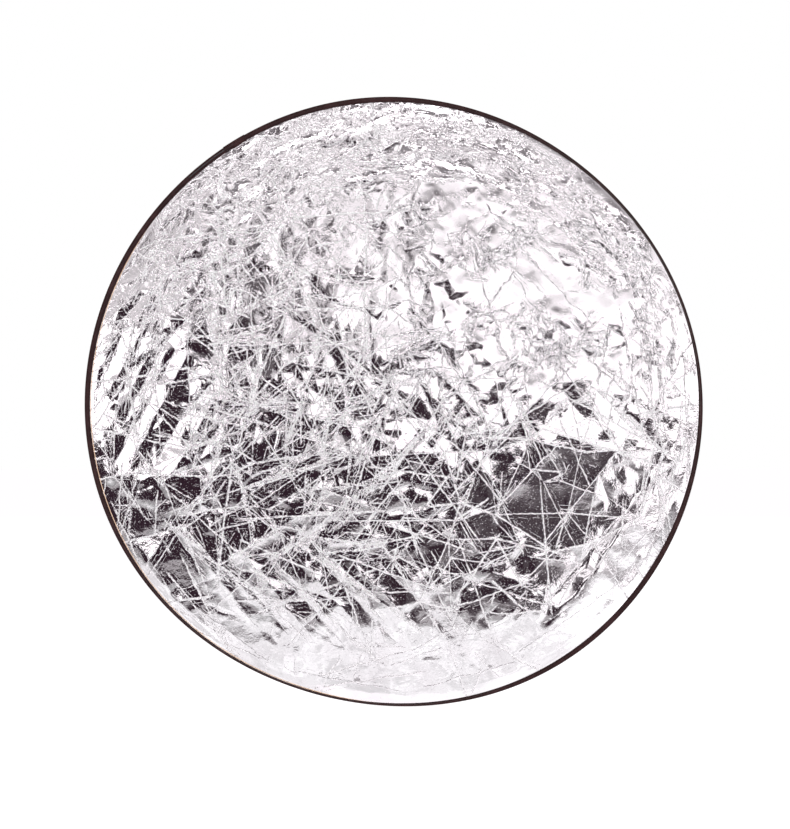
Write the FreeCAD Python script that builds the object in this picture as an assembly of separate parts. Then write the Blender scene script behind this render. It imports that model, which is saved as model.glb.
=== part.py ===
import FreeCAD, Part
import math
import os

# Collapsible reflector disc: a hoop of flat spring steel inside a folded edge tape,
# with a silver panel sewn to its front and a gold panel sewn to its back.
# The disc stands upright. Its face is in the XZ plane, its silver side looks along -Y,
# and the origin is at the hoop's centre. Lengths are in millimetres.

# ---- driving dimensions ----
DISC_RADIUS = 300.0        # over the edge tape
BAND_THICKNESS = 0.7       # the spring steel, measured along the radius
BAND_WIDTH = 5.0           # the spring steel, measured along Y
BAND_INSET = 0.9           # from the disc's edge to the band's outer face
TAPE_THICKNESS = 0.4
TAPE_HALF_DEPTH = 3.25     # from the mid plane to the tape's outside
TAPE_FLANGE = 5.15         # how far the folded tape reaches in from the edge
TAPE_SHOULDER = 3.05       # from the disc's edge to where the tape turns in behind the band
TAPE_SLOPE = 0.9           # along the radius, from that turn to the flat that is sewn down
FOLD_RADIUS = 0.6          # of the tape's centre line where it folds
PANEL_RADIUS = 296.1
PANEL_THICKNESS = 0.3
PANEL_GAP = 0.2            # between the two panels
THREAD = 0.2               # thickness of a row of stitches
STITCH_ROW_WIDTH = 0.4
OVERLOCK_DEPTH = 0.4       # of the thread over the panels' cut edges, along the radius
OVERLOCK_THICKNESS = 0.1   # of that thread, over each panel's face
SMALL_GAP = 0.05           # keeps pieces that touch just clear of each other
FINE_GAP = 0.02            # the same, where there is less room

FLEX_RANGE_DEG = 60.0      # how far the disc bows each way
FLEX_CLEARANCE = 0.3

SPLICE_ANGLE = 127.0       # where the band's ends meet, seen from the front
SPLICE_LENGTH = 44.0
BAND_END_GAP = 1.0         # from the bottom end of the band to the step in its top end
JOGGLE_LENGTH = 4.0        # along the rim, where the top end steps in
RIVET_SHANK_RADIUS = 1.0
RIVET_HEAD_RADIUS = 1.7
RIVET_HEAD_HEIGHT = 0.25
RIVET_SPACING = 22.0
WRAP_THICKNESS = 0.1
WRAP_OVERHANG = 5.0        # past each end of the splice
LAP_ANGLE = 121.5          # where the tape's end covers its start
LAP_LENGTH = 24.0
STITCH_END_GAP = 0.3       # from the lap to each end of a row of stitches
BARTACK_LENGTH = 3.2       # along the rim
BARTACK_WIDTH = 0.6

# ---- sizes that follow ----
CENTRE = FreeCAD.Vector(0, 0, 0)
TURN_AXIS = FreeCAD.Vector(0, -1, 0)   # a positive turn goes from +X towards +Z
BAND_OUTER = DISC_RADIUS - BAND_INSET
BAND_INNER = BAND_OUTER - BAND_THICKNESS
LAYER_STEP = BAND_THICKNESS + FINE_GAP   # from one band layer to the next at the splice
HALF_GAP = (TAPE_HALF_DEPTH + FLEX_CLEARANCE) * math.tan(math.radians(FLEX_RANGE_DEG / 2))
PANEL_OUTSIDE = PANEL_GAP / 2 + PANEL_THICKNESS
FLANGE_Y = PANEL_OUTSIDE + SMALL_GAP + TAPE_THICKNESS / 2
TAPE_TIP = DISC_RADIUS - TAPE_FLANGE   # the radius of the tape's sewn edges
LAP_GROWTH = TAPE_THICKNESS + SMALL_GAP  # how far out the lap lies from the tape under it
STITCH_RADIUS = TAPE_TIP + STITCH_ROW_WIDTH


def degrees_of(length):
    """The angle that a length along the rim takes up."""
    return math.degrees(length / DISC_RADIUS)


def box_section(r_low, r_high, y_low, y_high):
    """A rectangular section, drawn in the XY plane at angle zero."""
    corners = [(r_low, y_low), (r_high, y_low), (r_high, y_high), (r_low, y_high)]
    points = [FreeCAD.Vector(r, y, 0) for r, y in corners + corners[:1]]
    return Part.Face(Part.makePolygon(points))


def turned(section, start=0.0, end=360.0):
    """The solid that a section makes when it goes round the disc's axis."""
    placed = section.copy()
    placed.rotate(CENTRE, TURN_AXIS, start)
    return placed.revolve(CENTRE, TURN_AXIS, end - start)


def rounded_path(points, radius):
    """An open wire of straight runs, with an arc at each corner."""
    edges = []
    last = points[0]
    for before, corner, after in zip(points, points[1:], points[2:]):
        back = (before - corner).normalize()
        ahead = (after - corner).normalize()
        half_angle = back.getAngle(ahead) / 2
        reach = radius / math.tan(half_angle)
        start = corner + back * reach
        end = corner + ahead * reach
        towards = (back + ahead).normalize()
        middle = corner + towards * (radius / math.sin(half_angle) - radius)
        edges.append(Part.LineSegment(last, start).toShape())
        edges.append(Part.Arc(start, middle, end).toShape())
        last = end
    edges.append(Part.LineSegment(last, points[-1]).toShape())
    return Part.Wire(edges)


def tape_section(grow=0.0):
    """The folded tape in section. It goes over the band and back in to the panels.
    A layer that lies on top of the tape is the same shape, grown outwards."""
    half = TAPE_THICKNESS / 2
    outside = DISC_RADIUS - half + grow
    side = TAPE_HALF_DEPTH - half + grow
    flat = FLANGE_Y + grow
    slope_angle = math.atan2(side - flat, TAPE_SLOPE)
    shoulder = DISC_RADIUS - TAPE_SHOULDER - grow * math.tan(slope_angle / 2)
    seat = shoulder - TAPE_SLOPE
    front_half = [(TAPE_TIP, flat), (seat, flat), (shoulder, side), (outside, side)]
    back_half = [(r, -y) for r, y in reversed(front_half)]
    path = rounded_path([FreeCAD.Vector(r, y, 0) for r, y in front_half + back_half], FOLD_RADIUS)
    sides = [path.makeOffset2D(step, join=0, openResult=True) for step in (half, -half)]
    edges = [edge for side_wire in sides for edge in side_wire.Edges]
    for y in (flat, -flat):
        ends = [FreeCAD.Vector(TAPE_TIP, y + step, 0) for step in (half, -half)]
        edges.append(Part.LineSegment(*ends).toShape())
    return Part.Face(Part.Wire(Part.__sortEdges__(edges)))


def half_space(side):
    """A block that holds everything on one side of the flex line, clear of the gap."""
    reach = 2 * DISC_RADIUS
    low_x = HALF_GAP if side > 0 else -reach - HALF_GAP
    return Part.makeBox(reach, reach, 2 * reach, FreeCAD.Vector(low_x, -reach / 2, -reach))


def halves(name, whole):
    """The two nodes that a full ring or panel is held as, one on each side of the flex line."""
    return {
        name + "_left": whole.common(half_space(-1)),
        name + "_right": whole.common(half_space(1)),
    }


def radial_cylinder(radius, r_low, r_high, angle):
    """A cylinder along the disc's radius."""
    pin = Part.makeCylinder(radius, r_high - r_low, FreeCAD.Vector(r_low, 0, 0), FreeCAD.Vector(1, 0, 0))
    pin.rotate(CENTRE, TURN_AXIS, angle)
    return pin


# ---- the spring band ----
def band_layer(start, end, inset=0.0):
    half = BAND_WIDTH / 2
    return turned(box_section(BAND_INNER - inset, BAND_OUTER - inset, -half, half), start, end)


def rivet_angles():
    step = degrees_of(RIVET_SPACING) / 2
    return [SPLICE_ANGLE - step, SPLICE_ANGLE + step]


def make_band():
    """The strip's top end steps in and lies inside its bottom end for the length of the splice."""
    half_lap = degrees_of(SPLICE_LENGTH) / 2
    lap_start = SPLICE_ANGLE - half_lap
    lap_end = SPLICE_ANGLE + half_lap
    step_end = lap_start - degrees_of(BAND_END_GAP)
    step_start = step_end - degrees_of(JOGGLE_LENGTH)
    half = BAND_WIDTH / 2
    joggle = box_section(BAND_INNER - LAYER_STEP, BAND_OUTER, -half, half)
    top = band_layer(90.0, step_end)
    top = top.fuse(turned(joggle, step_start, step_end))
    top = top.fuse(band_layer(step_end, lap_end, LAYER_STEP)).removeSplitter()
    bottom = band_layer(lap_start, 270.0)
    drill_start = BAND_INNER - 2 * LAYER_STEP
    drill_end = BAND_OUTER + LAYER_STEP
    for angle in rivet_angles():
        hole = radial_cylinder(RIVET_SHANK_RADIUS + FINE_GAP, drill_start, drill_end, angle)
        top = top.cut(hole)
        bottom = bottom.cut(hole)
    left = half_space(-1)
    return {
        "band_right": band_layer(-90.0, 90.0).common(half_space(1)),
        "band_top_left": top.common(left),
        "band_bottom_left": bottom.common(left),
    }


def make_rivets():
    """Two rivets, each a shank with a flat head inside and outside the lapped band."""
    inner_face = BAND_INNER - LAYER_STEP - FINE_GAP
    outer_face = BAND_OUTER + FINE_GAP
    rivets = []
    for angle in rivet_angles():
        shank = radial_cylinder(RIVET_SHANK_RADIUS, inner_face, outer_face, angle)
        head = radial_cylinder(RIVET_HEAD_RADIUS, outer_face, outer_face + RIVET_HEAD_HEIGHT, angle)
        tail = radial_cylinder(RIVET_HEAD_RADIUS, inner_face - RIVET_HEAD_HEIGHT, inner_face, angle)
        rivets.append(shank.fuse([head, tail]).removeSplitter())
    return {"splice_rivets": Part.makeCompound(rivets)}


def make_splice_wrap():
    """Cloth tape wound round the whole lap, so that its ends can't cut the edge tape."""
    reach = degrees_of(SPLICE_LENGTH / 2 + WRAP_OVERHANG)
    past_end = degrees_of(WRAP_OVERHANG)
    low = BAND_INNER - LAYER_STEP - FINE_GAP - RIVET_HEAD_HEIGHT - SMALL_GAP
    high = BAND_OUTER + 2 * FINE_GAP + RIVET_HEAD_HEIGHT
    side = BAND_WIDTH / 2 + SMALL_GAP
    skin = WRAP_THICKNESS
    outside = turned(box_section(low - skin, high + skin, -side - skin, side + skin),
                     SPLICE_ANGLE - reach, SPLICE_ANGLE + reach)
    inside = turned(box_section(low, high, -side, side),
                    SPLICE_ANGLE - reach - past_end, SPLICE_ANGLE + reach + past_end)
    return {"splice_wrap": outside.cut(inside)}


# ---- the edge tape ----
def make_tape():
    nodes = halves("edge_tape", turned(tape_section()))
    reach = degrees_of(LAP_LENGTH) / 2
    lap = tape_section(grow=LAP_GROWTH)
    nodes["edge_tape_lap"] = turned(lap, LAP_ANGLE - reach, LAP_ANGLE + reach)
    return nodes


def make_bartack():
    """Close stitches across the lap's end, on its front and back flange."""
    near = FLANGE_Y + LAP_GROWTH + TAPE_THICKNESS / 2 + SMALL_GAP
    far = near + THREAD
    middle = LAP_ANGLE + degrees_of(LAP_LENGTH / 2 - BARTACK_LENGTH)
    reach = degrees_of(BARTACK_LENGTH) / 2
    low = TAPE_TIP + SMALL_GAP
    high = low + BARTACK_WIDTH
    rows = []
    for y_low, y_high in ((-far, -near), (near, far)):
        rows.append(turned(box_section(low, high, y_low, y_high), middle - reach, middle + reach))
    return {"lap_bartack": Part.makeCompound(rows)}


# ---- the panels and their stitches ----
def make_panels():
    near = PANEL_GAP / 2
    front = turned(box_section(0, PANEL_RADIUS, -PANEL_OUTSIDE, -near))
    back = turned(box_section(0, PANEL_RADIUS, near, PANEL_OUTSIDE))
    return {**halves("silver_panel", front), **halves("gold_panel", back)}


def make_overlock():
    """The thread that binds the two panels' cut edges together inside the tape."""
    low = PANEL_RADIUS + SMALL_GAP
    side = PANEL_OUTSIDE + OVERLOCK_THICKNESS
    return halves("panel_overlock", turned(box_section(low, low + OVERLOCK_DEPTH, -side, side)))


def make_stitching():
    """The needle thread on the front flange and the bobbin thread on the back one."""
    near = FLANGE_Y + TAPE_THICKNESS / 2 + FINE_GAP
    low = STITCH_RADIUS - STITCH_ROW_WIDTH / 2
    high = STITCH_RADIUS + STITCH_ROW_WIDTH / 2
    clear_of_lap = degrees_of(LAP_LENGTH / 2 + STITCH_END_GAP)
    start = LAP_ANGLE + clear_of_lap
    end = LAP_ANGLE - clear_of_lap + 360.0
    front = turned(box_section(low, high, -near - THREAD, -near), start, end)
    back = turned(box_section(low, high, near, near + THREAD), start, end)
    return {**halves("front_stitching", front), **halves("rear_stitching", back)}


def main():
    nodes = {}
    for make in (make_band, make_rivets, make_splice_wrap, make_tape, make_bartack,
                 make_panels, make_overlock, make_stitching):
        nodes.update(make())
    os.makedirs("parts", exist_ok=True)
    for name, shape in nodes.items():
        shape.exportStep("parts/" + name + ".step")
        print(name, "solids", len(shape.Solids), "valid", shape.isValid(),
              "volume", round(shape.Volume, 2))


main()
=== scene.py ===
import math

import bmesh
import bpy
import numpy as np
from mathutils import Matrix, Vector


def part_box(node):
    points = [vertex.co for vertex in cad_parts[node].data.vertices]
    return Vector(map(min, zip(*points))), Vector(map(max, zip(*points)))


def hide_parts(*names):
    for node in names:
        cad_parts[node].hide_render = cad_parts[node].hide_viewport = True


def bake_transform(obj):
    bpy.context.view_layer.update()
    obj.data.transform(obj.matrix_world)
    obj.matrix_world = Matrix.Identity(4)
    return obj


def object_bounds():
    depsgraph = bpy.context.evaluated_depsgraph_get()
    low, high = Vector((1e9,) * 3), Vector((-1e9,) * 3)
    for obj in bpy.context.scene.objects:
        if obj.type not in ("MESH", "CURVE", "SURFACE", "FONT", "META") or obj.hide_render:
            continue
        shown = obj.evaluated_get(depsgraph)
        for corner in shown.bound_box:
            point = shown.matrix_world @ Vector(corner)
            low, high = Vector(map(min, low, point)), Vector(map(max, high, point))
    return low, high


# A collapsible reflector disc. The disc stands in the XZ plane and its silver side looks
# along -Y. Lengths are in metres, and sizes written as numbers are in millimetres times MM.

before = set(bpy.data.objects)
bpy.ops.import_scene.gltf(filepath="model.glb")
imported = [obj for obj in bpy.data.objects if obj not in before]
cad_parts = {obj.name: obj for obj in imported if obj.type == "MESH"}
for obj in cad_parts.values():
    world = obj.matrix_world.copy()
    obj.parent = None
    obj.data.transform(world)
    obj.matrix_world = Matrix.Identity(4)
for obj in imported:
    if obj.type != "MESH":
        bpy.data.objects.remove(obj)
cad_box = [list(corner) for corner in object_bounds()]

MM = 0.001
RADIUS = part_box("edge_tape_right")[1][0]
FRONT, BACK = -1, 1            # the sign of Y on the silver side and on the gold side
FULL_TURN = 2 * math.pi

# Angles go round the hoop from +X towards +Z.
SPLICE_ANGLE = math.radians(127.0)
SPLICE_HALF = 22.0 * MM / RADIUS       # half the lap of the band's ends, as an angle
WRAP_HALF = 27.0 * MM / RADIUS         # half the cloth wrap round them
RIVET_OFFSET = 11.0 * MM / RADIUS      # from the lap's middle
LAP_ANGLE = math.radians(121.5)
LAP_HALF = 12.0 * MM / RADIUS          # half the lap of the tape's ends
LAP_GROWTH = 0.45                      # millimetres that the lap lies outside the tape under it
STITCH_PITCH = 3.0 * MM
SAME_PLACE = 1e-6                      # metres, for points that are joined
BAND_THICKNESS, BAND_WIDTH, BAND_INSET = 0.7, 5.0, 0.9     # in millimetres
TAPE_CORE = 1.45                       # millimetres in from the hoop's edge that stand up over the band
FINE_STEP = 0.8 * MM                   # along the rim, between the sections of a finer piece


def smooth(t):
    """0 to 1 with soft ends."""
    t = np.clip(t, 0, 1)
    return t * t * (3 - 2 * t)


def wave(theta, turns, lead_deg):
    """A cosine that goes round the hoop a whole number of times."""
    return np.cos(turns * theta - math.radians(lead_deg))


def rim(theta):
    """The hoop's outer radius. Sprung steel never lies perfectly round: this hoop is up to 5 mm off."""
    uneven = 0.01035 * wave(theta, 2, -46.6) + 0.00506 * wave(theta, 3, -108.4)
    uneven = uneven + 0.00277 * wave(theta, 4, 73.0) + 0.0011 * wave(theta, 5, 52.8)
    return RADIUS * (1 + uneven)


def tape_width(theta, side):
    """How far the tape reaches in on one side. The tape is rolled a little to and fro round the band."""
    roll = 0.69 * wave(theta, 1, 125) + 1.10 * wave(theta, 2, -77) + 0.64 * wave(theta, 3, -121)
    middle = 4.15 if side == FRONT else 4.6
    return (middle - side * roll) * MM


def tape_knee(width, unit=1.0):
    """Where the tape comes down to lie flat, going in from the hoop's edge. The stitches are past it."""
    core = TAPE_CORE * unit
    return core + 0.6 * (width - core)


# ---------------- pieces and meshes

def place_object(name, data):
    """A new object in the scene."""
    made = bpy.data.objects.new(name, data)
    bpy.context.collection.objects.link(made)
    return made


def make_object(name, points, faces, replaced, material):
    """A smooth-shaded piece that stands for the replaced CAD nodes."""
    mesh = bpy.data.meshes.new(name)
    mesh.from_pydata([tuple(p) for p in points], [], faces)
    mesh.update()
    piece = place_object(name, mesh)
    for polygon in mesh.polygons:
        polygon.use_smooth = True
    mesh.materials.append(material)
    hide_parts(*replaced)
    return piece


def tidy_normals(piece, merge_distance=0.0):
    """Turns all faces outwards, and first joins points that are nearer than merge_distance."""
    work = bmesh.new()
    work.from_mesh(piece.data)
    if merge_distance:
        bmesh.ops.remove_doubles(work, verts=work.verts, dist=merge_distance)
    bmesh.ops.recalc_face_normals(work, faces=work.faces)
    work.to_mesh(piece.data)
    work.free()


def bow(piece):
    """Writes the piece's placement into its points."""
    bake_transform(piece)


def add_vectors(mesh, name, x, y, z=None):
    """A point attribute that a material reads."""
    values = np.column_stack([x, y, np.zeros_like(x) if z is None else z]).astype(np.float32)
    mesh.attributes.new(name, "FLOAT_VECTOR", "POINT").data.foreach_set("vector", values.ravel())


def tube_faces(base, rings, around):
    """The quads between neighbouring rings of points, from point number base on."""
    faces = []
    for i in range(rings - 1):
        for j in range(around):
            k = (j + 1) % around
            near, far = base + i * around, base + (i + 1) * around
            faces.append([near + j, near + k, far + k, far + j])
    return faces


def sweep(name, section, replaced, material, start=0.0, end=FULL_TURN, step=1.0 * MM):
    """A closed section carried round the hoop. section(theta) gives its points as two arrays,
    the distance in from the hoop's edge and Y, with a row for each theta."""
    full = abs(end - start - FULL_TURN) < 1e-6
    count = max(2, int((end - start) * RADIUS / step))
    theta = np.linspace(start, end, count, endpoint=not full)
    inset, y = section(theta[:, None])
    shape = (count, inset.shape[1])
    y = np.broadcast_to(y, shape)
    r = rim(theta)[:, None] - inset
    points = np.stack([r * np.cos(theta)[:, None], y, r * np.sin(theta)[:, None]], axis=-1)
    rows, columns = shape
    i, j = np.meshgrid(np.arange(rows if full else rows - 1), np.arange(columns), indexing="ij")
    i_next, j_next = (i + 1) % rows, (j + 1) % columns
    corners = [i * columns + j, i_next * columns + j, i_next * columns + j_next, i * columns + j_next]
    faces = np.stack(corners, axis=-1).reshape(-1, 4).tolist()
    if not full:
        faces.append(list(range(columns)))
        faces.append(list(range((rows - 1) * columns, rows * columns)))
    piece = make_object(name, points.reshape(-1, 3), faces, replaced, material)
    tidy_normals(piece)
    steps = np.hypot(np.diff(np.broadcast_to(inset, shape), axis=1), np.diff(y, axis=1))
    across = np.concatenate([np.zeros((rows, 1)), np.cumsum(steps, axis=1)], axis=1)
    along = np.broadcast_to((theta * RADIUS)[:, None], shape)
    add_vectors(piece.data, "cloth", along.ravel(), across.ravel())
    bow(piece)


def rows_of(theta, points):
    """Section points given as numbers or as arrays over theta, as the arrays that sweep wants."""
    inset = np.concatenate([np.broadcast_to(p[0], theta.shape) for p in points], axis=1)
    y = np.concatenate([np.broadcast_to(p[1], theta.shape) for p in points], axis=1)
    return inset, y


# ---------------- materials

class Recipe:
    """A node material, written as calls that make a node and link or set its inputs."""

    def __init__(self, name):
        self.material = bpy.data.materials.new(name)
        self.material.use_nodes = True
        self.nodes = self.material.node_tree.nodes
        self.links = self.material.node_tree.links
        self.shader = self.nodes["Principled BSDF"]

    def make(self, kind, inputs=(), output=0, **properties):
        node = self.nodes.new(kind)
        for name, value in properties.items():
            setattr(node, name, value)
        self.fill(node, dict(inputs))
        return node.outputs[output]

    def fill(self, node, inputs):
        for name, value in inputs.items():
            if isinstance(value, bpy.types.NodeSocket):
                self.links.new(value, node.inputs[name])
            else:
                node.inputs[name].default_value = value

    def math(self, operation, first, second=0.0):
        return self.make("ShaderNodeMath", {0: first, 1: second}, operation=operation)

    def times(self, first, second):
        return self.math("MULTIPLY", first, second)

    def attribute(self, name, output="Vector"):
        return self.make("ShaderNodeAttribute", output=output, attribute_name=name)

    def split(self, vector):
        """The three parts of a vector."""
        node = self.nodes.new("ShaderNodeSeparateXYZ")
        self.links.new(vector, node.inputs[0])
        return node.outputs

    def noise(self, vector, scale, detail=2.0, roughness=0.5, distortion=0.0):
        inputs = {"Vector": vector, "Scale": scale, "Detail": detail, "Roughness": roughness,
                  "Distortion": distortion}
        return self.make("ShaderNodeTexNoise", inputs)

    def spread(self, value, low, high, to_low=0.0, to_high=1.0, kind="SMOOTHSTEP"):
        """Maps low..high to to_low..to_high and holds it there outside."""
        inputs = {"Value": value, "From Min": low, "From Max": high, "To Min": to_low, "To Max": to_high}
        return self.make("ShaderNodeMapRange", inputs, interpolation_type=kind)

    def blend_colours(self, share, first, second):
        node = self.nodes.new("ShaderNodeMix")
        node.data_type = "RGBA"
        self.fill(node, {0: share, 6: first, 7: second})
        return node.outputs[2]

    def finish(self, **inputs):
        self.fill(self.shader, {name.replace("_", " "): value for name, value in inputs.items()})
        return self.material


def foil(name, bright, shade, cloth, roughness):
    """Metallised cloth. Each set of creases on the mesh holds a signed distance to the nearest crease,
    and the height and the width of the fine ridge along it. Along worn creases the metal has flaked
    off and the cloth shows; on the silver this near-white cloth colour is also a painted highlight that
    keeps the crease lines bright."""
    m = Recipe(name)
    flat = m.attribute("flat")
    wander = m.spread(m.noise(flat, 330.0, 3.0, 0.6), 0.3, 0.7, -0.5, 0.5, "LINEAR")
    height, broken = 0.0, 0.0
    for index in range(CREASE_SETS):
        signed_distance, ridge_height, ridge_width = m.split(m.attribute(f"crease_{index}"))
        distance = m.math("ABSOLUTE", m.math("ADD", signed_distance, wander))
        near = m.math("DIVIDE", distance, ridge_width)
        ridge = m.times(m.spread(near, 0.0, 1.0, 1.0, 0.0), ridge_height)
        height = m.math("ADD", height, ridge)
        broken = m.math("MAXIMUM", broken, m.math("ABSOLUTE", ridge))
    ragged = m.spread(m.noise(flat, 800.0, 2.0, 0.5), 0.32, 0.68, 0.1, 1.7, "LINEAR")
    fading = m.spread(m.noise(flat, 150.0, 2.0, 0.5), 0.35, 0.65, 0.2, 1.6)
    height = m.times(m.times(height, ragged), fading)
    worn = m.attribute("worn", "Fac")
    patches = m.times(m.spread(m.noise(flat, 45.0, 3.0, 0.6), 0.38, 0.66, 0.3, 1.0), worn)
    crinkle = m.times(m.noise(flat, 230.0, 1.0, 0.5, 0.8), 0.22)
    grain = m.times(m.noise(flat, 700.0, 1.0, 0.5), 0.10)
    fine = m.times(m.math("ADD", crinkle, grain), patches)
    specks = m.spread(m.noise(flat, 650.0, 1.0, 0.5), 0.68, 0.78, 0.0, 0.09)
    height = m.math("ADD", m.math("ADD", height, fine), specks)
    bump = m.make("ShaderNodeBump", {"Height": height, "Distance": MM, "Strength": 1.0})
    broken = m.times(broken, m.times(ragged, fading))
    # Wear and painted highlight: along crease ridges the colour turns to the matt cloth colour, near-white
    # on the silver, so the creases read bright whatever lights them.
    flaked_and_crease_highlight = m.times(m.spread(broken, 0.08, 0.22), m.spread(worn, 0.1, 0.35))
    dull = m.spread(m.noise(flat, 420.0, 4.0, 0.7), 0.3, 0.75, roughness * 0.8, roughness * 1.5, "LINEAR")
    for more in (m.times(worn, 0.025), m.spread(worn, 0.12, 0.3, 0.05, 0.0),
                 m.times(flaked_and_crease_highlight, 0.4)):
        dull = m.math("ADD", dull, more)
    tone = m.spread(m.noise(flat, 22.0, 4.0, 0.6), 0.35, 0.7)
    # Here the creases take the cloth colour: on the silver this is the painted crease highlight as well as
    # flaked metal.
    colour = m.blend_colours(flaked_and_crease_highlight, m.blend_colours(tone, bright, shade), cloth)
    metal = m.math("SUBTRACT", 1.0, m.times(flaked_and_crease_highlight, 0.85))
    return m.finish(Base_Color=colour, Metallic=metal, Roughness=dull, Normal=bump)


def woven_tape(name, dark, light):
    """Narrow woven tape: ribs across it, a finer weave between them, and fluff that catches light."""
    m = Recipe(name)
    cloth = m.attribute("cloth")
    along, across, _ = m.split(cloth)
    ribs = m.math("SINE", m.times(along, FULL_TURN / (0.85 * MM)))
    picks = m.math("SINE", m.times(across, FULL_TURN / (0.7 * MM)))
    weave = m.times(ribs, picks)
    fuzz = m.noise(cloth, 2600.0, 3.0, 0.7)
    height = m.math("ADD", m.times(weave, 0.05), m.times(fuzz, 0.09))
    bump = m.make("ShaderNodeBump", {"Height": height, "Distance": MM, "Strength": 1.0})
    worn = m.spread(m.noise(cloth, 75.0, 4.0, 0.65), 0.38, 0.72)
    colour = m.blend_colours(worn, dark, light)
    return m.finish(Base_Color=colour, Roughness=0.82, Normal=bump, Specular_IOR_Level=0.2,
                    Sheen_Weight=0.2, Sheen_Roughness=0.5)


def spun_thread(name, dark, light):
    """Twisted thread, with the strands' slant as bump."""
    m = Recipe(name)
    cloth = m.attribute("cloth")
    twist = m.make("ShaderNodeTexWave", {"Vector": cloth, "Scale": 900.0, "Distortion": 1.5, "Detail": 2.0},
                   bands_direction="DIAGONAL")
    bump = m.make("ShaderNodeBump", {"Height": twist, "Distance": 0.05 * MM, "Strength": 0.8})
    colour = m.blend_colours(m.noise(cloth, 300.0), dark, light)
    return m.finish(Base_Color=colour, Roughness=0.55, Normal=bump)


def spring_steel(name, colour, blued):
    """Rolled strip, with fine scratches along it and a patchy blue temper."""
    m = Recipe(name)
    cloth = m.attribute("cloth")
    stretched = m.make("ShaderNodeMapping", {"Vector": cloth, "Scale": (0.03, 1.0, 1.0)})
    scratches = m.noise(stretched, 5200.0, 4.0, 0.7)
    bump = m.make("ShaderNodeBump", {"Height": scratches, "Distance": 0.02 * MM, "Strength": 0.6})
    tint = m.blend_colours(m.noise(cloth, 18.0, 3.0), colour, blued)
    rough = m.spread(scratches, 0.3, 0.7, 0.22, 0.42, "LINEAR")
    return m.finish(Base_Color=tint, Metallic=1.0, Roughness=rough, Normal=bump)


# ---------------- relief of the crumpled panels

REACH = 325.0          # millimetres from the middle that the relief covers
NET_CELL = 0.5         # millimetres between the places where a net's height is worked out
PLACED_WITHIN = 297.0  # millimetres from the middle, for scattered creases
NET_WITHIN = 300.0     # the same, for creases along a net
CREASE_SETS = 5        # by direction, so that creases of different sets can cross
CREASE_REACH = 4.5     # millimetres to each side that a crease is known to the mesh
SCAR_REACH = 2.2       # millimetres to each side where its fine ridge is at full height


def blob(x, z, at, size, turn_deg=0.0):
    """1 at a place and falling smoothly to 0 around it."""
    a = math.radians(turn_deg)
    u = (x - at[0]) * math.cos(a) + (z - at[1]) * math.sin(a)
    v = -(x - at[0]) * math.sin(a) + (z - at[1]) * math.cos(a)
    return np.exp(-(u / size[0]) ** 2 - (v / size[1]) ** 2)


def ripple(random, wavelength):
    """A smooth random field over the disc, between about -1 and 1."""
    waves = [(random.uniform(0, math.pi), FULL_TURN / (wavelength * random.uniform(0.7, 1.6)),
              random.uniform(0, 7)) for _ in range(7)]

    def field(x, z):
        return sum(np.sin((x * math.cos(angle) + z * math.sin(angle)) * turns + lead)
                   for angle, turns, lead in waves) / 3.2
    return field


class Lattice:
    """A jittered net of triangles with random heights, as stiff film makes when it is crushed."""

    def __init__(self, random, spacing):
        self.count = int(2 * REACH / spacing) + 4
        row, column = np.meshgrid(np.arange(self.count), np.arange(self.count), indexing="ij")
        jitter = random.uniform(-0.45, 0.45, (2, self.count, self.count))
        self.x = (column + 0.5 * (row % 2) + jitter[0] - 1.5) * spacing - REACH
        self.z = (row + jitter[1] - 1.5) * spacing - REACH
        self.level = np.clip(random.normal(size=(self.count, self.count)), -1.7, 1.7)

    def triangles(self):
        for i in range(self.count - 1):
            for j in range(self.count - 1):
                a, b, c, d = (i, j), (i, j + 1), (i + 1, j + 1), (i + 1, j)
                if i % 2:
                    yield a, b, c
                    yield a, c, d
                else:
                    yield a, b, d
                    yield b, c, d

    def edges(self):
        """Each edge of the net once, as two places in millimetres."""
        seen = set()
        for corners in self.triangles():
            for k in range(3):
                pair = tuple(sorted((corners[k], corners[(k + 1) % 3])))
                if pair not in seen:
                    seen.add(pair)
                    yield [(self.x[c], self.z[c]) for c in pair]

    def heights(self, x, z):
        """The net's height at points, found through a fine square grid."""
        axis = np.arange(-REACH, REACH + NET_CELL, NET_CELL)
        field = np.zeros((len(axis), len(axis)))
        for corners in self.triangles():
            self.fill(field, axis, [(self.x[c], self.z[c], self.level[c]) for c in corners])
        column = np.clip((x + REACH) / NET_CELL, 0, len(axis) - 1.001)
        row = np.clip((z + REACH) / NET_CELL, 0, len(axis) - 1.001)
        i, j = row.astype(int), column.astype(int)
        s, t = row - i, column - j
        low = field[i, j] * (1 - t) + field[i, j + 1] * t
        high = field[i + 1, j] * (1 - t) + field[i + 1, j + 1] * t
        return low * (1 - s) + high * s

    @staticmethod
    def fill(field, axis, corners):
        """Writes one triangle's plane into the grid."""
        (ax, az, ah), (bx, bz, bh), (cx, cz, ch) = corners

        def window(low, high):
            first = int(np.clip((low + REACH) / NET_CELL, 0, len(axis)))
            return slice(first, int(np.clip((high + REACH) / NET_CELL + 2, 0, len(axis))))
        columns = window(min(ax, bx, cx), max(ax, bx, cx))
        rows = window(min(az, bz, cz), max(az, bz, cz))
        area = (bx - ax) * (cz - az) - (cx - ax) * (bz - az)
        if columns.start >= columns.stop or rows.start >= rows.stop:
            return
        x, z = axis[columns][None, :], axis[rows][:, None]
        b = ((x - ax) * (cz - az) - (cx - ax) * (z - az)) / area
        c = ((bx - ax) * (z - az) - (x - ax) * (bz - az)) / area
        inside = (b >= -1e-6) & (c >= -1e-6) & (b + c <= 1 + 1e-6)
        field[rows, columns][inside] = (ah + b * (bh - ah) + c * (ch - ah))[inside]


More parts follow.
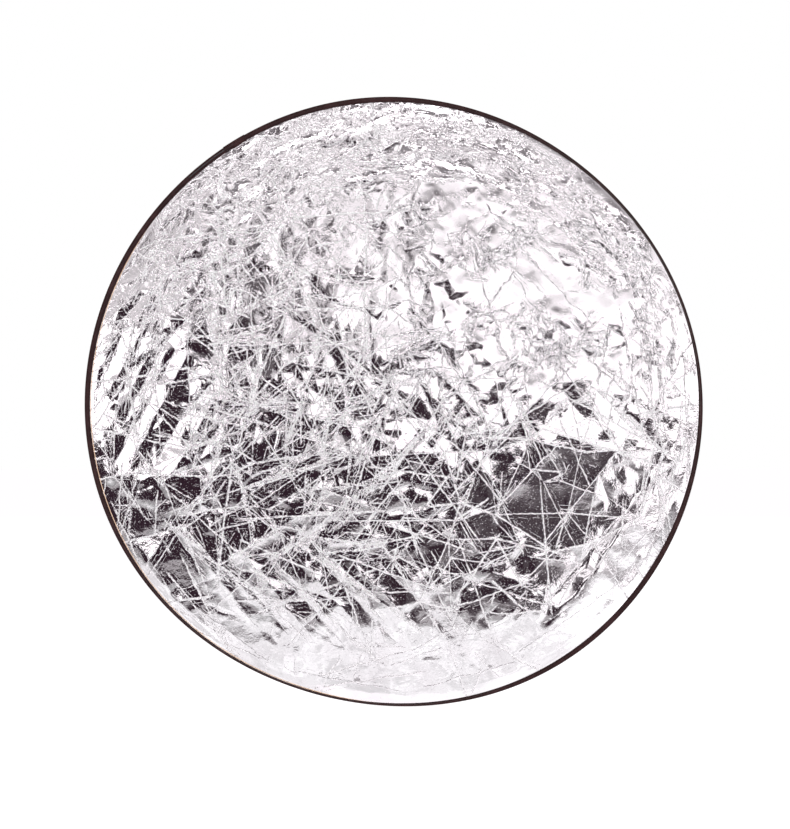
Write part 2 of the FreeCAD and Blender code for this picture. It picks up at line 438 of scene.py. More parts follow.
class Creases:
    """Creases over the vertices of a panel: a fold in the mesh, and a finer scar that the material
    makes from the signed distance to it."""

    def __init__(self, x, z, random):
        self.x, self.z, self.random = x, z, random
        self.order = np.argsort(x)
        self.sorted_x = x[self.order]
        self.height = np.zeros_like(x)
        self.distance = np.full((CREASE_SETS, len(x)), CREASE_REACH)
        self.scar = np.zeros((CREASE_SETS, len(x)))
        self.ridge = np.ones((CREASE_SETS, len(x)))

    def add(self, start, end, fold, width, steep, ridge=0.8):
        """fold is the height of the crease in the mesh, and it falls off over width. ridge is half the
        width of the fine ridge along it, and steep is that ridge's height over its half width."""
        start, end = np.array(start, float), np.array(end, float)
        along = end - start
        length = float(np.hypot(*along))
        along /= length
        if along[1] < 0:
            start, end, along = end, start, -along
        margin = 4 * width + CREASE_REACH      # past this the fold has all but died away
        low = min(start[0], end[0]) - margin
        high = max(start[0], end[0]) + margin
        near = self.order[np.searchsorted(self.sorted_x, low):np.searchsorted(self.sorted_x, high)]
        x, z = self.x[near] - start[0], self.z[near] - start[1]
        u = x * along[0] + z * along[1]
        v = -x * along[1] + z * along[0]
        close = (u > -margin) & (u < length + margin) & (np.abs(v) < margin)
        near, u, v = near[close], u[close], v[close]
        t = np.clip(u / length, 0, 1)
        taper = smooth(np.minimum(t, 1 - t) * 4)
        self.height[near] += fold * np.exp(-np.abs(v) / width) * taper
        angle = math.degrees(math.atan2(along[1], along[0])) % 180
        k = int(angle / 180 * CREASE_SETS) % CREASE_SETS
        wins = (np.abs(v) < np.abs(self.distance[k, near])) & (u > 0) & (u < length)
        mine = near[wins]
        fade = smooth((CREASE_REACH - np.abs(v[wins])) / (CREASE_REACH - SCAR_REACH))
        self.distance[k, mine] = v[wins]
        self.scar[k, mine] = steep * ridge * fade * np.minimum(1, taper[wins] * 2)
        self.ridge[k, mine] = ridge

    def scatter(self, count, lengths, folds, widths, steeps, ridges, density, direction):
        """Random creases. density(x, z) is the chance that one is kept, and direction(x, z) gives the
        middle and the spread of their angle in degrees."""
        made = 0
        tries = 0
        while made < count and tries < 20 * count:
            tries += 1
            cx, cz = self.random.uniform(-300, 300, 2)
            if np.hypot(cx, cz) > PLACED_WITHIN or self.random.uniform() > density(cx, cz):
                continue
            middle, spread = direction(cx, cz)
            angle = math.radians(middle + self.random.normal() * spread)
            half = self.random.uniform(*lengths) / 2
            step = half * np.array([math.cos(angle), math.sin(angle)])
            sign = 1 if self.random.uniform() < 0.5 else -1
            self.add(np.array([cx, cz]) - step, np.array([cx, cz]) + step,
                     sign * self.random.uniform(*folds), self.random.uniform(*widths),
                     sign * self.random.uniform(*steeps), self.random.uniform(*ridges))
            made += 1

    def net(self, lattice, folds, width, steeps, ridges, chance):
        """Creases along edges of a lattice. chance(x, z) is the share of edges that show."""
        for start, end in lattice.edges():
            cx, cz = (start[0] + end[0]) / 2, (start[1] + end[1]) / 2
            if np.hypot(cx, cz) > NET_WITHIN or self.random.uniform() > chance(cx, cz):
                continue
            sign = 1 if self.random.uniform() < 0.6 else -1
            reach = self.random.uniform(0.0, 0.25)
            start, end = np.array(start), np.array(end)
            extra = (end - start) * reach
            self.add(start - extra, end + extra, sign * self.random.uniform(*folds), width,
                     sign * self.random.uniform(*steeps), self.random.uniform(*ridges))


def disc_grid(rings):
    """A round sheet of near-equal triangles: share of the radius, angle, and triangles."""
    share, angle = [np.zeros(1)], [np.zeros(1)]
    faces = []
    for ring in range(1, rings + 1):
        share.append(np.full(6 * ring, ring / rings))
        angle.append(np.arange(6 * ring) * (FULL_TURN / (6 * ring)))
        outer = 1 + 3 * ring * (ring - 1)
        inner = 1 + 3 * (ring - 1) * (ring - 2)
        sector, m = np.meshgrid(np.arange(6), np.arange(ring), indexing="ij")
        sector, m = sector.ravel(), m.ravel()
        a = outer + (sector * ring + m) % (6 * ring)
        b = outer + (sector * ring + m + 1) % (6 * ring)
        if ring == 1:
            faces.append(np.column_stack([a, b, np.zeros_like(a)]))
            continue
        wrap = 6 * (ring - 1)
        c = inner + (sector * (ring - 1) + m) % wrap
        faces.append(np.column_stack([a, b, c]))
        more = m < ring - 1
        d = inner + (sector * (ring - 1) + m + 1) % wrap
        faces.append(np.column_stack([c, b, d])[more])
    return np.concatenate(share), np.concatenate(angle), np.concatenate(faces)


def panel(name, side, rings, shape_relief, replaced, material):
    """One cloth panel. shape_relief gives its height in millimetres, its creases and its wear."""
    share, theta, faces = disc_grid(rings)
    edge = rim(theta) - np.maximum(tape_width(theta, side) - 1.0 * MM, 1.8 * MM)
    x = share * edge * np.cos(theta)
    z = share * edge * np.sin(theta)
    inside = (1 - share) * edge / MM            # millimetres in from the panel's own edge
    height, creases, worn = shape_relief(x / MM, z / MM)
    free = 1.5 * smooth(inside / 90) + height * smooth((inside - 1.2) / 9)
    # The root keeps the cloth on its own side of the disc's middle, with no corner where it nears it.
    out = 0.25 + (free + np.sqrt(free ** 2 + 0.15)) / 2 - 0.19 * (1 - smooth(inside / 4))
    points = np.column_stack([x, side * out * MM, z])
    order = faces if side == FRONT else faces[:, ::-1]
    piece = make_object(name, points, order.tolist(), replaced, material)
    add_vectors(piece.data, "flat", x, z)
    piece.data.attributes.new("worn", "FLOAT", "POINT").data.foreach_set("value", worn.astype(np.float32))
    for index in range(CREASE_SETS):
        add_vectors(piece.data, f"crease_{index}", creases.distance[index], creases.scar[index],
                    creases.ridge[index])
    bow(piece)


# ---------------- silver panel

def facet_area(x, z):
    """Big smooth facets with long creases between them, at lower right."""
    return np.minimum(1, 1.15 * blob(x, z, (105, -115), (100, 62), -10))


def foot(x, z):
    """The smooth foot of the disc."""
    return smooth((-190 - z) / 40)


def busy(x, z):
    """Where the cloth is creased most, left of the middle."""
    return np.minimum(1, blob(x, z, (-95, -50), (130, 110)) + 0.7 * blob(x, z, (10, -60), (70, 60)))


def bright(x, z):
    """The upper right, with short wavy wrinkles."""
    return smooth((x + 40) / 80) * smooth((z + 30) / 80)


def soft(x, z):
    """The upper left near the edge, with soft shallow waves."""
    return np.minimum(1, 1.2 * blob(x, z, (-150, 225), (170, 75), 36))


def top_rim(x, z):
    """The band along the rim at the top and the upper right, streaked along the rim."""
    from_middle, angle = np.hypot(x, z), np.degrees(np.arctan2(z, x))
    near_rim = np.exp(-((from_middle - 262) / 28) ** 2)
    return near_rim * smooth((angle - 22) / 15) * smooth((118 - angle) / 15)


def any_way(x, z):
    """Creases in every direction."""
    return 90, 90


def silver_direction(x, z):
    """Creases near the edge follow it. Left of the middle most of them rise to the right."""
    from_middle = math.hypot(x, z)
    if from_middle > 225:
        return math.degrees(math.atan2(z, x)) + 90, 16
    if blob(x, z, (-90, -60), (120, 100)) > 0.4:
        return 42, 38
    return any_way(x, z)


LONG_CREASES = [
    # start and end in millimetres from the middle, right and up
    ((106, -98), (165, -35)), ((139, -146), (250, -8)), ((106, -98), (128, -150)),
    ((64, -115), (106, -98)), ((64, -115), (83, -147)), ((128, -150), (182, -156)),
    ((64, -115), (5, -112)), ((83, -147), (128, -138)), ((-10, -118), (83, -147)),
    ((20, -190), (128, -140)), ((64, -115), (98, -20)), ((106, -98), (60, -40)),
    ((182, -156), (200, -70)), ((-20, -130), (75, -235)), ((-200, -140), (-60, -230)),
    ((-150, -100), (0, -205)), ((-120, -150), (-30, -245)), ((-250, -60), (-120, -175)),
    ((-60, -160), (40, -235)), ((-230, -110), (-20, -40)), ((-150, -110), (30, 15)),
    ((-120, -170), (0, -60)), ((-60, -130), (40, -10)), ((-210, 10), (-30, -20)),
    ((-180, 55), (-60, 60)), ((-130, 110), (-55, 62)), ((-60, 60), (30, 70)),
    ((0, 160), (60, 190)), ((60, 175), (150, 105)), ((95, 185), (200, 70)),
    ((150, 60), (215, -40)), ((-170, 190), (-30, 235)), ((-60, 240), (120, 215)),
]

PLEATS = [
    # start, end, height, width: broader folds, of the foot at lower left and of the left edge
    ((-195, -140), (-130, -225), 0.8, 6), ((-175, -140), (-98, -232), -0.7, 6),
    ((-152, -142), (-72, -240), 0.8, 6), ((-130, -145), (-40, -246), -0.8, 6),
    ((-104, -140), (-20, -235), 0.8, 6), ((-80, -145), (5, -238), -0.7, 7),
    ((-50, -148), (30, -225), 0.7, 7), ((-20, -150), (70, -240), -0.6, 7),
    ((-285, 0), (-238, 88), 0.8, 4), ((-270, -30), (-212, 85), -0.8, 4), ((-258, -60), (-196, 60), 0.7, 4),
    ((-240, -70), (-188, 20), -0.7, 4), ((-222, -80), (-168, 20), 0.7, 4), ((-262, 60), (-222, 135), 0.7, 5),
    ((-246, 70), (-200, 150), -0.7, 5), ((-280, -70), (-236, 10), -0.7, 4),
    ((-200, -70), (-150, 10), -0.6, 4), ((-290, 10), (-255, 95), -0.6, 4),
    ((-276, -20), (-228, 70), 0.6, 4), ((-250, -20), (-205, 70), -0.6, 4),
    ((-72, 127), (-12, 124), 0.9, 3), ((-72, 121), (-12, 119), -0.7, 3),
    ((150, 60), (128, 15), -0.6, 6), ((62, 160), (75, 120), -0.6, 5), ((80, 165), (110, 185), -0.5, 5),
]

EDGE_FOLDS = [
    # radius, angle, length, height, width: folds that lie along the hoop
    (284, 165, 70, 0.8, 6), (286, 190, 70, 0.8, 6), (284, 214, 90, 0.25, 5), (262, 205, 80, -0.2, 5),
    (276, 233, 120, 0.25, 6), (287, 120, 60, 0.8, 5), (270, 108, 110, 0.4, 7), (252, 98, 130, -0.4, 8),
    (275, 85, 150, 0.45, 7), (250, 75, 110, -0.4, 8), (270, 58, 120, 0.45, 8), (240, 62, 110, -0.4, 8),
    (278, 35, 130, 0.5, 8), (262, 15, 120, -0.7, 8), (279, -8, 110, 0.7, 8), (240, -40, 120, -0.6, 9),
    (276, -75, 110, 0.3, 8), (276, -100, 120, 0.3, 8),
]


def distance_towards(x, z, direction_deg):
    """How far a place lies from the middle in one direction."""
    a = math.radians(direction_deg)
    return x * math.cos(a) + z * math.sin(a)


def silver_relief(x, z):
    """Height, creases and wear of the silver cloth at places in millimetres from the middle."""
    random = np.random.default_rng(11)
    # The net is drawn into wavy lines, least where the facets are big or the creases crowd.
    wavy = (0.8 + 0.7 * bright(x, z) + 0.8 * soft(x, z)) * (1 - 0.8 * facet_area(x, z))
    wavy = wavy * (1 - 0.6 * busy(x, z))

    def waviness():
        return wavy * (ripple(random, 26)(x, z) + 0.35 * ripple(random, 11)(x, z))
    wx, wz = x + waviness(), z + waviness()
    crowding = ripple(random, 70)
    coarse, middle, small = (Lattice(random, spacing) for spacing in (52, 23, 9.5))
    flat, low, crowd, light = facet_area(x, z), foot(x, z), busy(x, z), bright(x, z)
    calm = (1 - 0.65 * flat) * (1 - 0.75 * low)
    shore = blob(x, z, (-225, -150), (95, 75))
    left_rim = blob(x, z, (-255, 15), (60, 110))
    calm = calm * (1 - 0.6 * blob(x, z, (-165, 125), (75, 45), 20))
    height = ((0.6 - 0.2 * flat) * (1 - 0.7 * low) * (1 - 0.6 * shore) * coarse.heights(wx, wz)
              + (0.42 - 0.14 * crowd) * calm * (1 - 0.5 * shore) * middle.heights(wx, wz)
              + (0.11 + 0.10 * light + 0.12 * left_rim) * (1 - 0.65 * flat) * (1 + 0.5 * low)
              * small.heights(wx, wz))
    smooth_roll = blob(x, z, (208, -165), (95, 15), 51)
    height *= 1 - 0.85 * smooth_roll
    # The cloth stands up in one smooth roll along the hoop at lower right.
    outwards, along = distance_towards(x, z, -37), distance_towards(x, z, 53)
    outwards = outwards + 1.6 * np.sin(along / 13) + 1.1 * np.sin(along / 5 + 1)
    roll = np.interp(outwards, (243, 253, 281, 297), (0.0, 3.0, 0.45, 0.0))
    height += roll * blob(x, z, (228, -150), (105, 70), 53)
    # Broad swells and a hollow turn the cloth as a whole.
    height += 1.8 * np.exp(-((z + 205) / 75) ** 2)
    height -= 1.9 * blob(x, z, (158, -132), (68, 62))
    height += 2.0 * blob(x, z, (138, -203), (42, 26))
    creases = Creases(wx, wz, random)
    for start, end in LONG_CREASES:
        creases.add(start, end, fold=0.3, width=7, steep=0.3, ridge=0.8)
    for start, end, fold, width in PLEATS:
        creases.add(start, end, fold, width, steep=0.1 * np.sign(fold))
    for radius, angle, length, fold, width in EDGE_FOLDS:
        a = math.radians(angle)
        place = radius * np.array([math.cos(a), math.sin(a)])
        step = length / 2 * np.array([-math.sin(a), math.cos(a)])
        creases.add(place - step, place + step, fold, width, steep=0.1 * np.sign(fold))

    def lines(a, b):
        """Where straight creases show."""
        return (1 - 0.8 * bright(a, b)) * (1 - 0.8 * soft(a, b)) * (1 - 0.7 * foot(a, b))
    creases.net(coarse, (0.05, 0.25), 6, (0.18, 0.38), (0.6, 1.2), lambda a, b: 0.8 * lines(a, b))
    creases.net(middle, (0.03, 0.15), 4, (0.15, 0.36), (0.5, 1.0),
                lambda a, b: (0.25 + 0.15 * busy(a, b)) * lines(a, b) * (1 - 0.6 * facet_area(a, b)))
    creases.net(small, (0.0, 0.04), 2, (0.12, 0.32), (0.4, 0.8),
                lambda a, b: (0.03 + 0.10 * busy(a, b)) * lines(a, b) * (1 - 0.9 * facet_area(a, b)))
    scatter = creases.scatter
    # Each row is a count, then ranges in millimetres: length, height of the fold, width of the fold.
    # Then come the steepness and half width of the fine ridge, the density and the direction.
    scatter(190, (40, 150), (0.05, 0.2), (3, 6), (0.18, 0.40), (0.6, 1.2),
            lambda a, b: lines(a, b) * (0.4 + 0.6 * busy(a, b)) * (1 - 0.6 * facet_area(a, b)),
            silver_direction)
    scatter(100, (18, 80), (0.25, 0.65), (1.8, 3.6), (0.12, 0.3), (0.6, 1.2),
            lambda a, b: busy(a, b) * (1 - 0.8 * facet_area(a, b)), silver_direction)
    scatter(480, (8, 34), (0.10, 0.35), (1.8, 3.4), (0.08, 0.26), (0.6, 2.0),
            lambda a, b: (bright(a, b) + 0.3 * soft(a, b)) * smooth(0.5 + 1.3 * crowding(a, b)),
            silver_direction)
    scatter(150, (25, 100), (0.25, 0.7), (3.5, 8), (0.05, 0.16), (0.6, 1.5),
            soft, lambda a, b: (50, 22))
    scatter(190, (30, 120), (0.12, 0.4), (4, 8), (0.03, 0.12), (0.6, 1.8),
            top_rim, lambda a, b: (math.degrees(math.atan2(b, a)) + 98, 9))
    scatter(120, (20, 80), (0.0, 0.1), (1.5, 3), (0.18, 0.38), (0.6, 1.2),
            lambda a, b: 0.3 * soft(a, b) + blob(a, b, (-130, 120), (100, 60)),
            lambda a, b: (40, 60))
    scatter(60, (12, 40), (0.15, 0.45), (2.5, 5), (0.03, 0.1), (0.6, 1.5),
            lambda a, b: blob(a, b, (75, -185), (85, 26)), lambda a, b: (55, 25))
    scatter(70, (14, 42), (0.3, 0.55), (2.0, 2.8), (0.05, 0.15), (0.6, 1.2),
            lambda a, b: bright(a, b) * (1 - blob(a, b, (90, 150), (70, 50))), any_way)
    creases.height *= 1 - 0.85 * smooth_roll
    creases.scar *= 1 - 0.85 * smooth_roll
    # Wear, which also sets where the creases take their painted white highlights; it is kept low over the
    # bright upper right.
    worn = (0.35 + 0.25 * soft(x, z) - 0.08 * crowd + 0.1 * low) * (1 - 0.7 * light)
    return height + creases.height, creases, np.clip(worn, 0, 1)


# ---------------- gold panel

def gold_relief(x, z):
    """Height, creases and wear of the gold cloth, which is crumpled alike all over."""
    random = np.random.default_rng(29)
    wx = x + 1.5 * ripple(random, 26)(x, z)
    wz = z + 1.5 * ripple(random, 26)(x, z)
    coarse, middle, small = (Lattice(random, spacing) for spacing in (58, 25, 11))
    height = 0.6 * coarse.heights(wx, wz) + 0.4 * middle.heights(wx, wz) + 0.14 * small.heights(wx, wz)
    creases = Creases(wx, wz, random)
    creases.net(coarse, (0.05, 0.25), 6, (0.12, 0.25), (0.8, 1.4), lambda a, b: 0.7)
    creases.net(middle, (0.03, 0.12), 4, (0.08, 0.22), (0.7, 1.2), lambda a, b: 0.35)

    def everywhere(a, b):
        return 1
    creases.scatter(160, (40, 150), (0.05, 0.25), (3, 7), (0.1, 0.25), (0.7, 1.5), everywhere, any_way)
    creases.scatter(600, (9, 35), (0.03, 0.14), (2, 4), (0.08, 0.22), (0.6, 1.4), everywhere, any_way)
    return height + creases.height, creases, np.full_like(x, 0.35)


def make_panels():
    # The silver's third colour, a near-white cloth, is painted onto its creases as their bright highlights,
    # as well as standing for flaked metal.
    silver = foil("silver_foil", (0.925, 0.88, 0.91, 1), (0.865, 0.81, 0.845, 1), (0.95, 0.92, 0.94, 1),
                  0.05)
    gold = foil("gold_foil", (0.95, 0.70, 0.32, 1), (0.88, 0.60, 0.25, 1), (0.92, 0.72, 0.40, 1), 0.15)
    panel("silver_panel", FRONT, 172, silver_relief,
          ["silver_panel_left", "silver_panel_right"], silver)
    panel("gold_panel", BACK, 110, gold_relief,
          ["gold_panel_left", "gold_panel_right"], gold)


# ---------------- edge tape and what it holds

def tape_flank(theta, side, grow=0.0):
    """One side of the folded tape in section, from the middle of its outer face to its tip and back.
    It puckers between the stitches. grow sets it outside the tape under it, in millimetres."""
    w = tape_width(theta, side) / MM + grow * 0.6
    knee = tape_knee(w)
    pucker = 0.10 * np.sin(theta * 97) + 0.07 * np.sin(theta * 211 + 1)
    stitch = 0.12 * (0.5 + 0.5 * np.cos(theta * RADIUS / STITCH_PITCH * FULL_TURN))
    g = grow
    outer = [(-g, 0), (-g, 1.2), (-g, 2.3 + g / 2), (0.1 - g, 2.75 + g * 0.7), (0.4 - g * 0.7, 3.08 + g),
             (0.85, 3.22 + g), (1.35, 3.2 + g),
             (TAPE_CORE + 0.3 * (knee - TAPE_CORE), 2.55 + g + pucker / 2),
             (TAPE_CORE + 0.7 * (knee - TAPE_CORE), 1.55 + g + pucker / 2),
             (knee, 1.02 + g + pucker * 0.6 - stitch * 0.4),
             ((knee + w) / 2, 0.92 + g - stitch), (w - 0.12, 0.86 + g + pucker * 0.2), (w, 0.74 + g)]
    inner = [(w - 0.06, 0.52 + g), (knee - 0.1, 0.58 + g), (1.6, 2.7 + g), (0.9, 2.85 + g),
             (0.42 - g, 2.4 + g), (0.4 - g, 1.2), (0.4 - g, 0)]
    return [(s * MM, side * y * MM) for s, y in outer + inner]


def tape_section(theta, grow=0.0):
    """The whole tape in section: both flanks round the band, open towards the middle of the disc."""
    front = tape_flank(theta, FRONT, grow)
    back = tape_flank(theta, BACK, grow)
    loop = front + list(reversed(back[1:-1]))
    return rows_of(theta, loop)


def make_tape(material):
    """The tape round the whole hoop, and the short lap over its ends."""
    sweep("edge_tape", tape_section, ["edge_tape_left", "edge_tape_right"], material)
    sweep("tape_lap", lambda theta: tape_section(theta, LAP_GROWTH), ["edge_tape_lap"],
          material, LAP_ANGLE - LAP_HALF, LAP_ANGLE + LAP_HALF)


def bars(name, places, size, replaced, material):
    """Many short bars of thread in one piece. A place is a middle, a direction along and one outwards,
    and size is the length, width and height of a bar."""
    ring, steps = 6, 5
    points, faces, along_all, across_all = [], [], [], []
    for middle, along, out in places:
        across = np.cross(along, out)
        base = len(points)
        for i in range(steps):
            t = i / (steps - 1) * 2 - 1
            swell = math.sqrt(max(0.0, 1 - abs(t) ** 3)) * 0.85 + 0.15
            for j in range(ring):
                a = FULL_TURN * j / ring
                offset = (along * t * size[0] / 2 + across * math.cos(a) * swell * size[1] / 2
                          + out * math.sin(a) * swell * size[2] / 2)
                points.append(middle + offset)
                along_all.append(t * size[0])
                across_all.append(a * size[1])
        faces += tube_faces(base, steps, ring)
        faces.append([base + j for j in range(ring)])
        faces.append([base + (steps - 1) * ring + j for j in reversed(range(ring))])
    piece = make_object(name, points, faces, replaced, material)
    tidy_normals(piece)
    add_vectors(piece.data, "cloth", np.array(along_all), np.array(across_all))
    bow(piece)


def rim_place(theta, inset, y, side):
    """A place on the disc's edge, with the directions along the edge and out of the face."""
    r = rim(theta) - inset
    middle = np.array([r * math.cos(theta), y, r * math.sin(theta)])
    along = np.array([-math.sin(theta), 0, math.cos(theta)])
    return middle, along, np.array([0.0, side, 0.0])


def make_stitching(material):
    """A row of stitches on each side, and the bar of close stitches that ends the lap."""
    count = int(FULL_TURN / (STITCH_PITCH / RADIUS))
    for side, name in ((FRONT, "front_stitching"), (BACK, "rear_stitching")):
        places = []
        for i in range(count):
            theta = (i + 0.5) * FULL_TURN / count
            if abs(theta - LAP_ANGLE) < LAP_HALF:
                continue
            width = float(tape_width(theta, side))
            middle = (tape_knee(width, MM) + width) / 2
            places.append(rim_place(theta, middle, side * 0.93 * MM, side))
        replaced = [name + "_left", name + "_right"]
        bars(name, places, (2.3 * MM, 0.34 * MM, 0.22 * MM), replaced, material)
    tack = []
    for side in (FRONT, BACK):
        for i in range(9):
            theta = LAP_ANGLE + LAP_HALF - (1.2 + i * 0.42) * MM / RADIUS
            inset = float(tape_width(theta, side)) - 0.75 * MM
            middle, along, out = rim_place(theta, inset, side * 1.4 * MM, side)
            tack.append((middle, np.cross(along, out), out))
    bars("tape_bartack", tack, (1.7 * MM, 0.36 * MM, 0.26 * MM), ["lap_bartack"], material)


def make_overlock(material):
    """The thread over the panels' cut edges. It peeps out of the tape where the tape is rolled back."""
    def section(theta):
        peep = 1.45 * smooth((np.cos(theta - math.radians(205)) - 0.35) / 0.4)
        w = tape_width(theta, FRONT) / MM - 0.35 + peep
        loops = 0.05 * np.sin(theta * RADIUS / (1.6 * MM) * FULL_TURN)
        loop = [(w, -0.34), (w - 0.25, -0.62 - loops), (w - 0.7, -0.6), (w - 0.9, 0.0), (w - 0.7, 0.34),
                (w - 0.4, 0.2)]
        return rows_of(theta, [(s * MM, y * MM) for s, y in loop])
    sweep("panel_overlock", section,
          ["panel_overlock_left", "panel_overlock_right"], material, step=FINE_STEP)


def make_band(steel):
    """One strip. Its last stretch steps in by its own thickness and lies inside its first."""
    half_width = BAND_WIDTH / 2

    def section(theta):
        step_at = SPLICE_ANGLE - SPLICE_HALF + FULL_TURN
        step = (BAND_THICKNESS + 0.02) * smooth((theta - step_at) * RADIUS / FINE_STEP + 1)
        near, far = BAND_INSET + step, BAND_INSET + BAND_THICKNESS + step
        loop = [(near, -half_width), (near, half_width), (far, half_width), (far, -half_width)]
        return rows_of(theta, [(s * MM, y * MM) for s, y in loop])
    start = SPLICE_ANGLE - SPLICE_HALF + 0.2 * MM / RADIUS
    end = SPLICE_ANGLE + SPLICE_HALF + FULL_TURN
    sweep("spring_band", section,
          ["band_right", "band_top_left", "band_bottom_left"], steel, start, end, FINE_STEP)


def make_rivets(steel):
    """Two flat-headed rivets through both layers of the band."""
    ring = 24
    # Radius, and distance in from the hoop's edge, in millimetres.
    profile = [(0.0, 0.58), (1.5, 0.6), (1.7, 0.68), (1.7, 0.86), (1.0, 0.88), (1.0, 2.34), (1.7, 2.36),
               (1.7, 2.52), (1.5, 2.6), (0.0, 2.62)]
    points, faces = [], []
    for sign in (-1, 1):
        theta = SPLICE_ANGLE + sign * RIVET_OFFSET
        base = len(points)
        for radius, inset in profile:
            for j in range(ring):
                a = FULL_TURN * j / ring
                middle, along, _ = rim_place(theta, inset * MM, radius * math.cos(a) * MM, FRONT)
                points.append(middle + along * radius * math.sin(a) * MM)
        faces += tube_faces(base, len(profile), ring)
    piece = make_object("band_rivets", points, faces, ["splice_rivets"], steel)
    tidy_normals(piece, SAME_PLACE)
    count = len(piece.data.vertices)
    add_vectors(piece.data, "cloth", np.linspace(0, 0.01, count), np.zeros(count))
    bow(piece)


def make_wrap(material):
    """Cloth tape wound round the lapped ends."""
    def section(theta):
        wound = 0.02 * np.sin((theta - SPLICE_ANGLE) * RADIUS / (6 * MM) * FULL_TURN)
        low, high, side = 0.48 - wound, 2.72 + wound, 2.62 + wound
        skin = 0.1
        loop = [(low, -side), (low, side), (high, side), (high, -side), (low + 0.01, -side),
                (low + skin, -side + skin), (high - skin, -side + skin), (high - skin, side - skin),
                (low + skin, side - skin), (low + skin, -side + skin + 0.01)]
        return rows_of(theta, [(s * MM, y * MM) for s, y in loop])
    sweep("band_wrap", section, ["splice_wrap"], material,
          SPLICE_ANGLE - WRAP_HALF, SPLICE_ANGLE + WRAP_HALF, FINE_STEP)


# ---------------- studio

CARD_PLANE = -1.3      # metres, the Y of the cards in front of the disc
FLOOR_FRONT = -1.38    # the Y of the paper's near edge, just past the cards
ROOM_COLOUR = (0.030, 0.016, 0.024, 1)     # as the disc sees the room, dim and faintly pink
BACKDROP_COLOUR = (1, 1, 1, 1)             # as the camera sees it


def softbox(name, middle, width, height, brightness, towards=(0, 1, 0), seen=True):
    """A flat lamp of even brightness that the camera doesn't see. seen says if reflections show it."""
    lamp = bpy.data.lights.new(name, "AREA")
    lamp.shape = "RECTANGLE"
    lamp.size, lamp.size_y = width, height
    lamp.energy = brightness * math.pi * width * height
    holder = place_object(name, lamp)
    holder.rotation_euler = Vector(towards).to_track_quat("-Z", "Y").to_euler()
    holder.location = middle
    holder.visible_camera = False
    holder.visible_glossy = seen
    return holder


def paper(name, left, right, near, far, height, material, hidden=False):
    """A level sheet of the set. hidden keeps it out of the camera's direct view."""
    mesh = bpy.data.meshes.new(name)
    corners = [(left, near, height), (right, near, height), (right, far, height), (left, far, height)]
    mesh.from_pydata(corners, [], [(0, 1, 2, 3)])
    piece = place_object(name, mesh)
    mesh.materials.append(material)
    add_vectors(mesh, "floor_place", np.array([left, right, right, left]), np.array([near, near, far, far]))
    piece.visible_camera = not hidden


def make_floor():
    """White paper that the camera sees, and two grey sheets on it that only reflections show; these glow,
    with painted light and painted soft shadow in their glow.
    """
    low = cad_box[0][2]
    m = Recipe("white_paper")
    white = m.finish(Base_Color=(0.2, 0.2, 0.2, 1), Roughness=0.9, Emission_Color=(1.0, 0.985, 1.0, 1),
                     Emission_Strength=1.0)
    paper("floor", -9, 9, FLOOR_FRONT, 14, low, white)
    # These two glow as painted floor light: dark far from the disc and mottled near it with painted soft
    # shadow.
    for name, near, far, dark_end, light_end in (("shade_on_floor", FLOOR_FRONT, -0.06, -1.25, -0.7),
                                                 ("shade_behind", 0.06, 6.0, 1.3, 0.15)):
        m = Recipe(name + "_paper")
        place = m.attribute("floor_place")
        sideways, back, _ = m.split(place)
        # Painted light falloff: the sheet glows brightest near the disc, and brighter again to the right.
        deep = m.spread(back, dark_end, light_end, 0.2, 1.04, "LINEAR")
        right = m.spread(sideways, 0.2, 0.36, 0.0, 0.6)
        wide = m.spread(m.math("ABSOLUTE", sideways), 0.42, 0.8, 1.0, 0.2)
        # Painted soft shadows, as a mottling of the glow.
        painted_shadow_mottle = m.spread(m.noise(place, 11.0, 3.0), 0.35, 0.65, 0.72, 1.25)
        glow = m.times(m.times(m.math("ADD", deep, right), wide), painted_shadow_mottle)
        # A sheet that glows though it is no lamp: its emission is painted light and shade.
        painted_light_sheet = m.finish(Base_Color=(0.05, 0.05, 0.05, 1), Roughness=0.9,
                        Emission_Color=(0.93, 0.95, 0.95, 1), Emission_Strength=glow)
        paper(name, -3, 3, near, far, low + MM, painted_light_sheet, hidden=True)


def card(name, left, right, low, high, brightness, turn_deg=0.0):
    """A bright card in front of the disc, in the plane of the cards, for the silver cloth to mirror."""
    middle = ((left + right) / 2, CARD_PLANE, (low + high) / 2)
    lamp = softbox(name, middle, right - left, high - low, brightness)
    lamp.rotation_euler.rotate_axis("Z", math.radians(turn_deg))


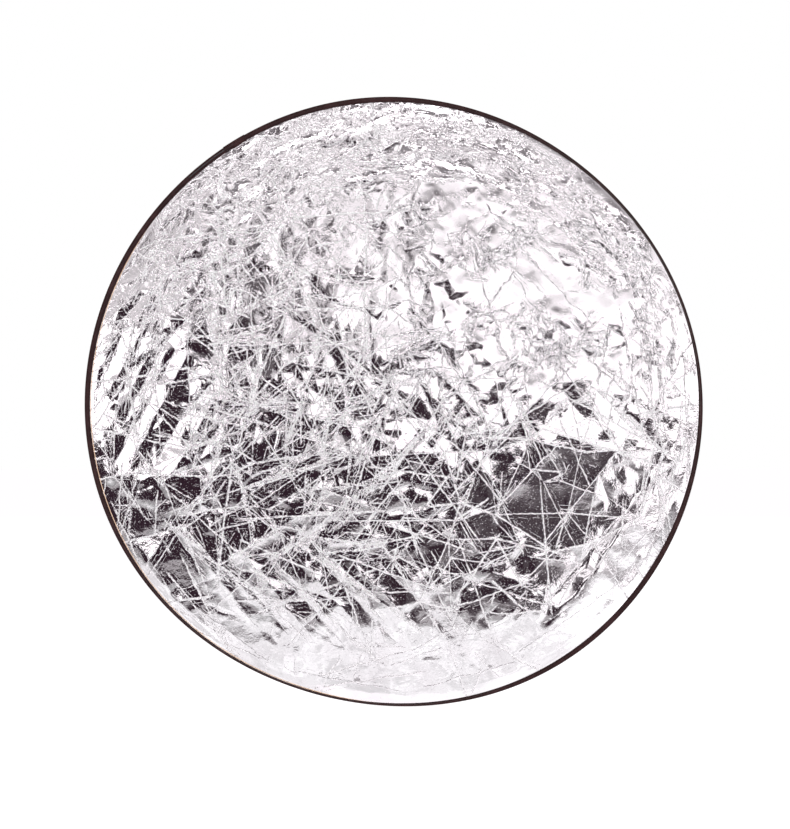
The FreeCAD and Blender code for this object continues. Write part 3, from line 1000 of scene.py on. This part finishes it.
def make_studio():
    """The cards and lamps round the disc, and the white room that the camera sees behind it."""
    make_floor()
    card("right_softbox_low", -0.06, 0.80, 0.13, 0.22, 1.2)
    card("right_softbox_middle", -0.06, 0.80, 0.22, 0.33, 1.0)
    card("right_softbox_high", -0.06, 0.80, 0.33, 0.44, 0.50)
    card("right_strip", -0.06, 0.80, -0.02, 0.13, 1.5)
    card("right_wing", 0.34, 0.95, -0.20, -0.04, 1.3, 14)
    card("left_softbox", -1.1, -0.36, -0.05, 0.17, 1.9)
    card("upper_left_card", -0.36, -0.06, 0.30, 0.44, 1.15)
    card("middle_card", -0.16, -0.06, 0.08, 0.25, 0.7)
    card("far_left_card", -1.1, -0.36, 0.28, 0.42, 0.75)
    card("top_card", -1.2, 1.2, 0.44, 0.60, 0.22)
    card("dim_low_card", -0.10, 0.36, -0.26, -0.19, 0.11)
    card("dim_middle_card", 0.16, 0.30, -0.19, -0.08, 0.045)
    card("dim_left_card", -1.1, -0.30, 0.17, 0.28, 0.6)
    card("dim_upper_card", -0.30, -0.16, 0.10, 0.28, 0.09)
    softbox("low_strip", (0, -1.36, -0.275), 3.0, 0.05, 0.42)
    card("high_card", -1.2, 1.2, 0.70, 1.2, 3.2)
    softbox("room_light", (0, -0.5, 2.6), 4.0, 4.0, 0.6, towards=(0, 0.1, -1), seen=False)
    softbox("front_fill", (0, -2.4, 0.8), 2.0, 2.0, 2.5, towards=(0, 1, -0.3), seen=False)
    softbox("back_softbox_right", (1.2, 1.5, 0.5), 1.2, 1.4, 1.8, towards=(-0.6, -1, -0.2))
    softbox("back_softbox_left", (-1.3, 1.5, 0.3), 1.0, 1.4, 1.2, towards=(0.6, -1, -0.1))
    world = bpy.data.worlds.new("room")
    world.use_nodes = True
    nodes, links = world.node_tree.nodes, world.node_tree.links
    background = nodes["Background"]
    path = nodes.new("ShaderNodeLightPath")
    mix = nodes.new("ShaderNodeMix")
    mix.data_type = "RGBA"
    mix.inputs[6].default_value = ROOM_COLOUR
    mix.inputs[7].default_value = BACKDROP_COLOUR
    links.new(path.outputs["Is Camera Ray"], mix.inputs[0])
    links.new(mix.outputs[2], background.inputs["Color"])
    bpy.context.scene.world = world
    bpy.context.scene.view_settings.view_transform = "Standard"


def make_camera():
    """A level camera in front of the silver side, a little below and right of its middle."""
    distance = 3.2
    shown_height = 0.8116          # of the picture, at the disc
    camera = bpy.data.cameras.new("camera")
    camera.sensor_width = 36
    camera.lens = camera.sensor_width * distance / shown_height
    camera.clip_start, camera.clip_end = 0.05, 50
    holder = place_object("camera", camera)
    holder.location = (0.001, -distance, -0.011)
    holder.rotation_euler = (math.radians(90), 0, 0)
    bpy.context.scene.camera = holder


def main():
    make_camera()
    make_panels()
    tape = woven_tape("black_tape", (0.020, 0.0045, 0.005, 1), (0.040, 0.013, 0.014, 1))
    make_tape(tape)
    thread = spun_thread("black_thread", (0.012, 0.009, 0.010, 1), (0.035, 0.028, 0.030, 1))
    make_stitching(thread)
    make_overlock(spun_thread("cream_thread", (0.80, 0.50, 0.33, 1), (0.88, 0.66, 0.48, 1)))
    make_band(spring_steel("blued_steel", (0.32, 0.33, 0.36, 1), (0.16, 0.17, 0.22, 1)))
    make_rivets(spring_steel("rivet_steel", (0.55, 0.55, 0.57, 1), (0.42, 0.42, 0.45, 1)))
    make_wrap(woven_tape("wrap_cloth", (0.05, 0.05, 0.055, 1), (0.09, 0.09, 0.095, 1)))
    make_studio()


main()
